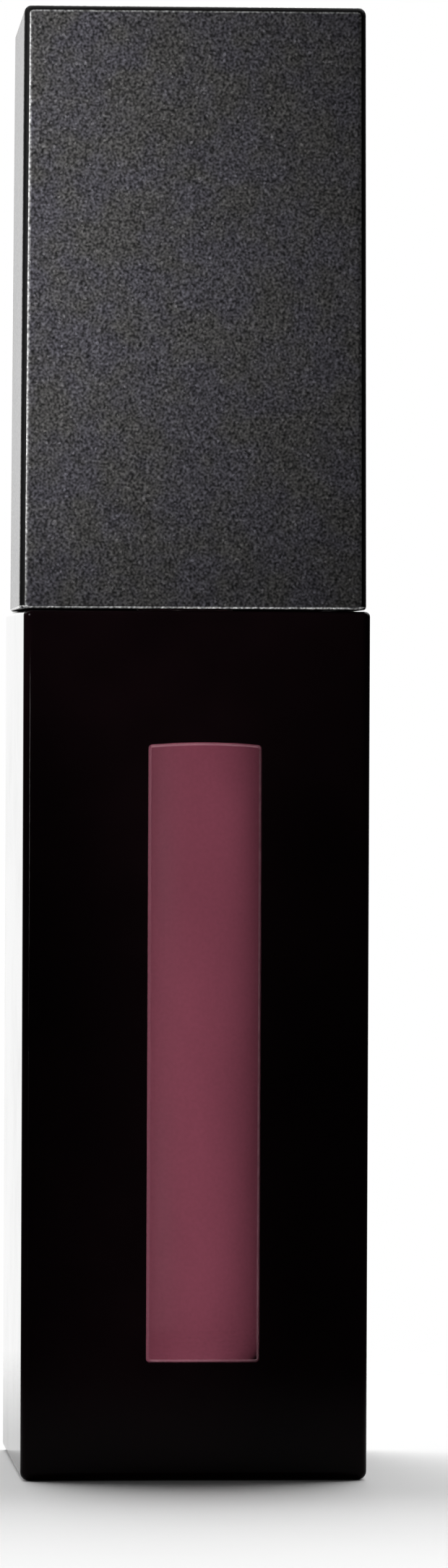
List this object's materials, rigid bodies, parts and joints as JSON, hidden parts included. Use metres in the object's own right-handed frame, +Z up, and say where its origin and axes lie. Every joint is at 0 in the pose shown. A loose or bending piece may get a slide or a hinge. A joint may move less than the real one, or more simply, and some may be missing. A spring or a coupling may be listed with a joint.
{
  "type": "liquid lipstick case",
  "caption": "Square liquid lip colour case with a front window on a clear vial, and a screw cap that carries a doe-foot wand.",
  "frame": {"origin": "middle of the base, on the long axis", "axes": "+Z up the long axis towards the cap's top, -Y out of the window, +X to the right of someone facing the window"},
  "size_m": [0.0204, 0.0204, 0.0847],
  "materials": {
    "gloss_black": "polished",
    "clear_pane": "polished",
    "clear_vial": "polished",
    "pigment": "satin",
    "soft_natural": "satin",
    "matte_black": "satin",
    "label_paper": "matte",
    "graphite_metallic": "satin",
    "insert_black": "satin",
    "liner_foam": "matte",
    "stem_black": "gloss",
    "tip_rubber": "matte",
    "flock": "matte"
  },
  "bodies": {
    "case": {"outer_case": "gloss_black", "window_pane": "clear_pane", "inner_bottle": "clear_vial", "lip_pigment": "pigment", "wiper": "soft_natural", "base_plug": "matte_black", "shade_label": "label_paper"},
    "cap_lift": {"cap_liner": "liner_foam"},
    "cap": {"outer_cap": "graphite_metallic", "inner_cap": "insert_black", "wand_stem": "stem_black", "applicator_core": "tip_rubber", "applicator_flock": "flock"}
  },
  "joints": [
    {"name": "cap_rise", "type": "slide", "parent": "case", "child": "cap_lift", "axis": [0, 0, 1], "range_m": [0, 0.052]},
    {"name": "cap_turn", "type": "hinge", "parent": "cap_lift", "child": "cap", "pos_m": [0, 0, 0.0507], "axis": [0, 0, 1], "range_deg": [0, 4680]}
  ],
  "couplings": [
    {"joint": "cap_rise", "follows": "cap_turn", "m_per_rad": 0.00063662}
  ]
}
